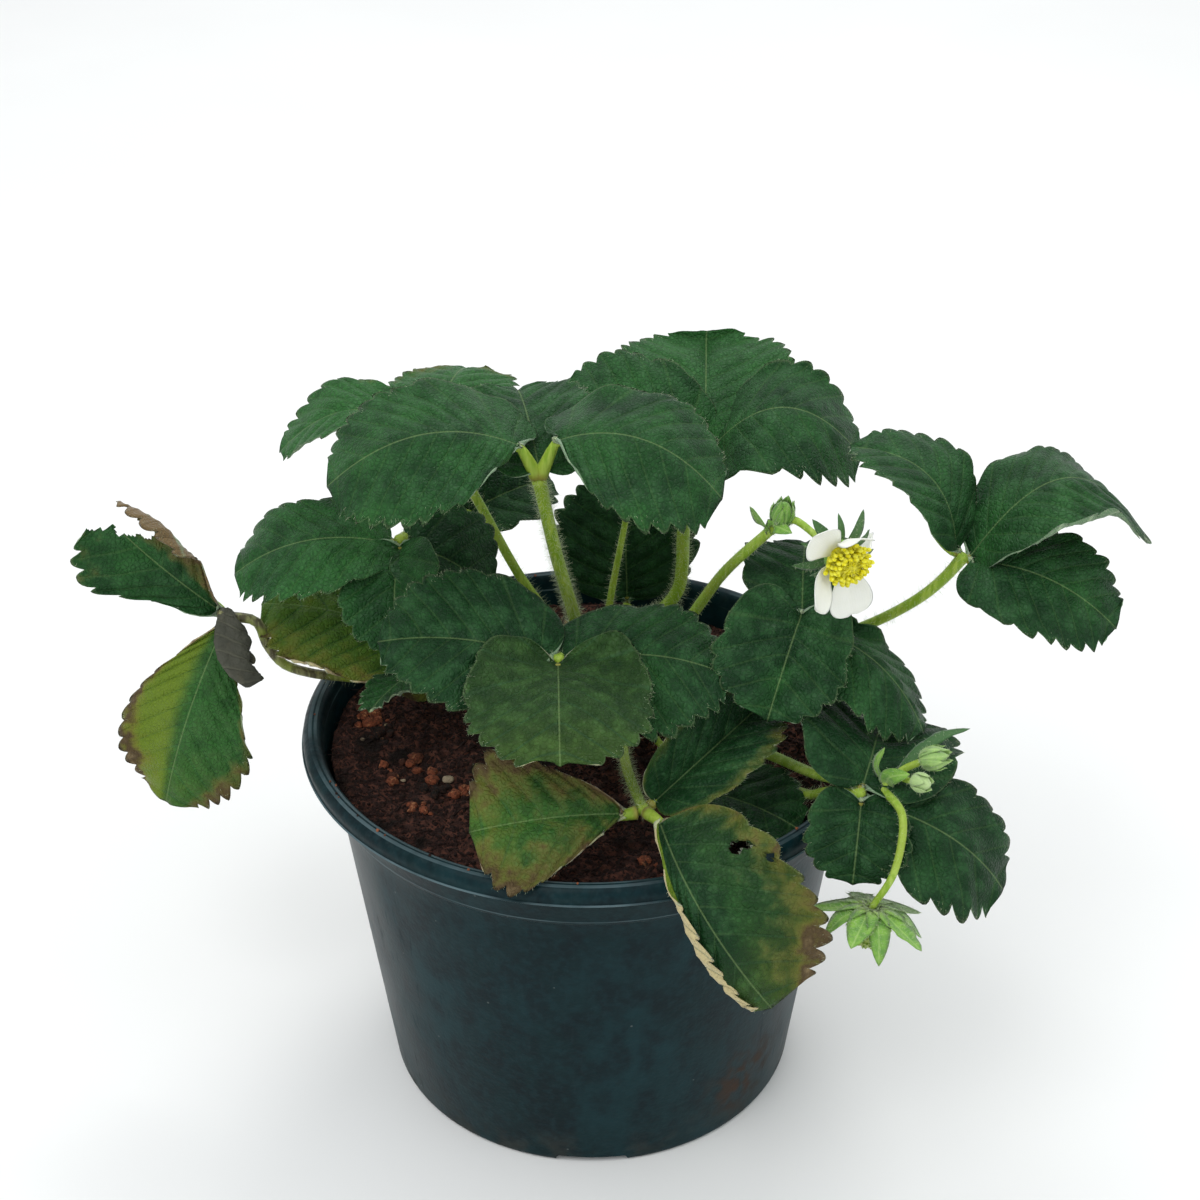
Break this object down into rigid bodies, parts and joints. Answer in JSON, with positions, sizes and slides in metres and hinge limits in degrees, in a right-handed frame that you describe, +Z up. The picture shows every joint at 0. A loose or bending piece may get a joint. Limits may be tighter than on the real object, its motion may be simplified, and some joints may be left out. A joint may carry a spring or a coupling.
{
  "type": "potted strawberry plant",
  "caption": "Leafy strawberry plant with long leaf stalks, an open white flower, buds and a young green fruit, growing in a round plastic pot.",
  "frame": {"origin": "middle of the pot's underside, on the surface it stands on", "axes": "+Z up; -Y is the side with the open flower, the young fruit and the hanging leaflet; +X to the right seen from there"},
  "size_m": [0.2853, 0.176, 0.2089],
  "materials": {
    "pot_plastic": "satin",
    "potting_mix": "matte",
    "crown": "matte",
    "leaf": "matte",
    "old_leaf": "matte",
    "dry_leaf": "matte",
    "stalk": "satin",
    "dark_stalk": "matte",
    "petal": "matte",
    "flower_centre": "matte",
    "young_green": "matte"
  },
  "bodies": {
    "root": {"crown": "crown", "flower_calyx": "young_green", "flower_centre": "flower_centre", "flower_truss_stalk": "stalk", "fruit_truss_stalk": "stalk", "leaf_stalk_back_left": "stalk", "leaf_stalk_back_right": "stalk", "leaf_stalk_far_left": "dark_stalk", "leaf_stalk_far_right": "stalk", "leaf_stalk_front": "stalk", "leaf_stalk_left": "stalk", "leaf_stalk_low_front": "stalk", "leaf_stalk_low_left": "stalk", "leaf_stalk_low_right": "stalk", "leaf_stalk_middle": "stalk", "leaf_stalk_right": "stalk", "leaf_stalk_shaded_back": "stalk", "leaflet_back_left_back": "leaf", "leaflet_back_left_left": "leaf", "leaflet_back_right_back": "leaf", "leaflet_back_right_left": "leaf", "leaflet_back_right_right": "leaf", "leaflet_far_left_curled": "dry_leaf", "leaflet_far_left_lower": "old_leaf", "leaflet_far_left_upper": "old_leaf", "leaflet_far_right_back": "leaf", "leaflet_far_right_front": "leaf", "leaflet_far_right_left": "leaf", "leaflet_front_left": "leaf", "leaflet_front_near": "leaf", "leaflet_front_right": "leaf", "leaflet_left_front": "leaf", "leaflet_left_left": "leaf", "leaflet_left_right": "leaf", "leaflet_low_front_folded": "old_leaf", "leaflet_low_front_hanging": "old_leaf", "leaflet_low_front_left": "old_leaf", "leaflet_low_left_front": "old_leaf", "leaflet_low_left_left": "old_leaf", "leaflet_low_right_back": "leaf", "leaflet_low_right_near": "leaf", "leaflet_low_right_right": "leaf", "leaflet_middle_back": "leaf", "leaflet_middle_left": "leaf", "leaflet_middle_right": "leaf", "leaflet_right_back": "leaf", "leaflet_right_near": "leaf", "leaflet_right_right": "leaf", "leaflet_shaded_back_upright": "leaf", "low_inner_leaf": "leaf", "petal_1": "petal", "petal_2": "petal", "petal_3": "petal", "petal_4": "petal", "petal_5": "petal", "pot": "pot_plastic", "potting_mix": "potting_mix", "shaded_left_leaf": "leaf", "young_fruit": "young_green", "young_leaf": "leaf"}
  },
  "joints": []
}
